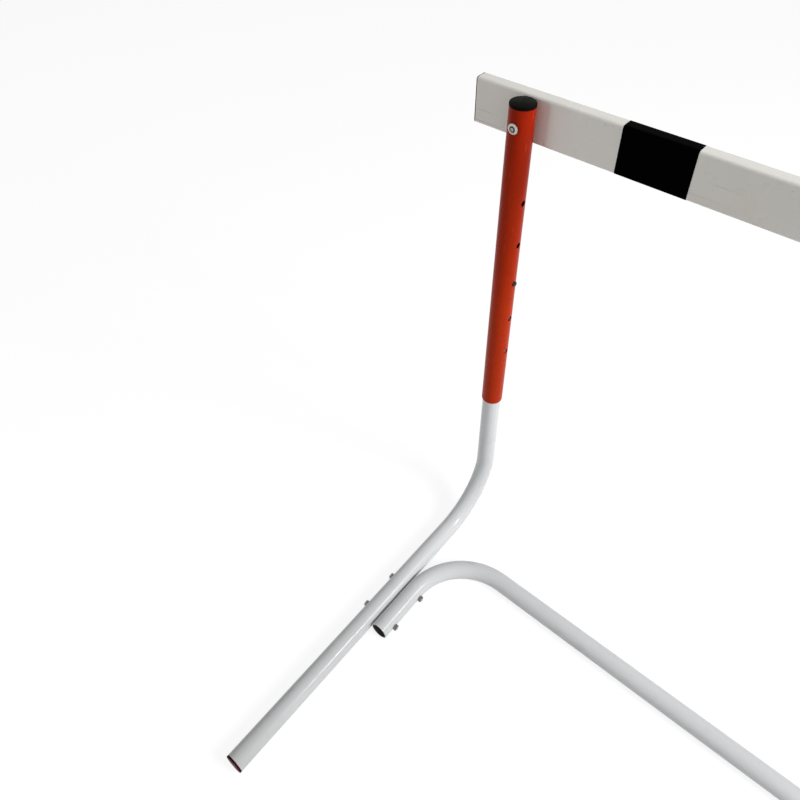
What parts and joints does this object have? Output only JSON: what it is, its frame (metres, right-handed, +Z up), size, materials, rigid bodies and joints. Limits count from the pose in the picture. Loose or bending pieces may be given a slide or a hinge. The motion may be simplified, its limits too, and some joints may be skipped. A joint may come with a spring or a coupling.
{
  "type": "track hurdle",
  "caption": "Free-standing track hurdle: a striped board on telescoping sleeves with snap buttons, over bent tube legs joined by a U-shaped cross tube.",
  "frame": {"origin": "on the ground, under the middle of the whole hurdle's outline", "axes": "+X along the board to its right end, +Y from the foot ends to the board, +Z up"},
  "size_m": [1.2, 0.7322, 0.9144],
  "materials": {
    "white_paint": "satin white powder coat on steel tube",
    "red_paint": "gloss orange-red powder coat on steel tube",
    "board_plastic": "off-white extruded plastic, light gloss, faint scuffs",
    "black_film": "glossy black vinyl film wrapped round the board",
    "black_plastic": "satin moulded charcoal plastic",
    "maroon_plastic": "matt dark maroon moulded plastic",
    "grey_plastic": "matt grey moulded plastic",
    "zinc_steel": "bright zinc plate on steel",
    "spring_steel": "rolled spring steel"
  },
  "bodies": {
    "base": {"left_leg": "white_paint", "right_leg": "white_paint", "cross_tube": "white_paint", "left_foot_plug": "maroon_plastic", "right_foot_plug": "maroon_plastic", "left_rear_joint_bolt": "zinc_steel", "left_rear_joint_nut": "zinc_steel", "left_front_joint_bolt": "zinc_steel", "left_front_joint_nut": "zinc_steel", "right_rear_joint_bolt": "zinc_steel", "right_rear_joint_nut": "zinc_steel", "right_front_joint_bolt": "zinc_steel", "right_front_joint_nut": "zinc_steel", "left_snap_spring": "spring_steel", "right_snap_spring": "spring_steel"},
    "bar_frame": {"hurdle_board": "board_plastic", "left_sleeve": "red_paint", "left_sleeve_cap": "black_plastic", "left_stripe_film": "black_film", "left_board_plug": "grey_plastic", "left_board_bolt": "zinc_steel", "left_board_washer": "zinc_steel", "left_board_nut": "zinc_steel", "right_sleeve": "red_paint", "right_sleeve_cap": "black_plastic", "right_stripe_film": "black_film", "right_board_plug": "grey_plastic", "right_board_bolt": "zinc_steel", "right_board_washer": "zinc_steel", "right_board_nut": "zinc_steel"},
    "left_button": {"left_snap_button": "zinc_steel"},
    "right_button": {"right_snap_button": "zinc_steel"}
  },
  "joints": [
    {"name": "height_setting", "type": "slide", "parent": "base", "child": "bar_frame", "axis": [0, 0, 1], "range_m": [-0.1524, 0.1524], "deforming": ["left_snap_button", "right_snap_button"]},
    {"name": "left_button_press", "type": "slide", "parent": "base", "child": "left_button", "axis": [-1, 0, 0], "range_m": [0, 0.006], "stiffness_N_per_m": 800, "springref_m": -0.003, "deforming": ["left_snap_spring"]},
    {"name": "right_button_press", "type": "slide", "parent": "base", "child": "right_button", "axis": [1, 0, 0], "range_m": [0, 0.006], "stiffness_N_per_m": 800, "springref_m": -0.003, "deforming": ["right_snap_spring"]}
  ]
}
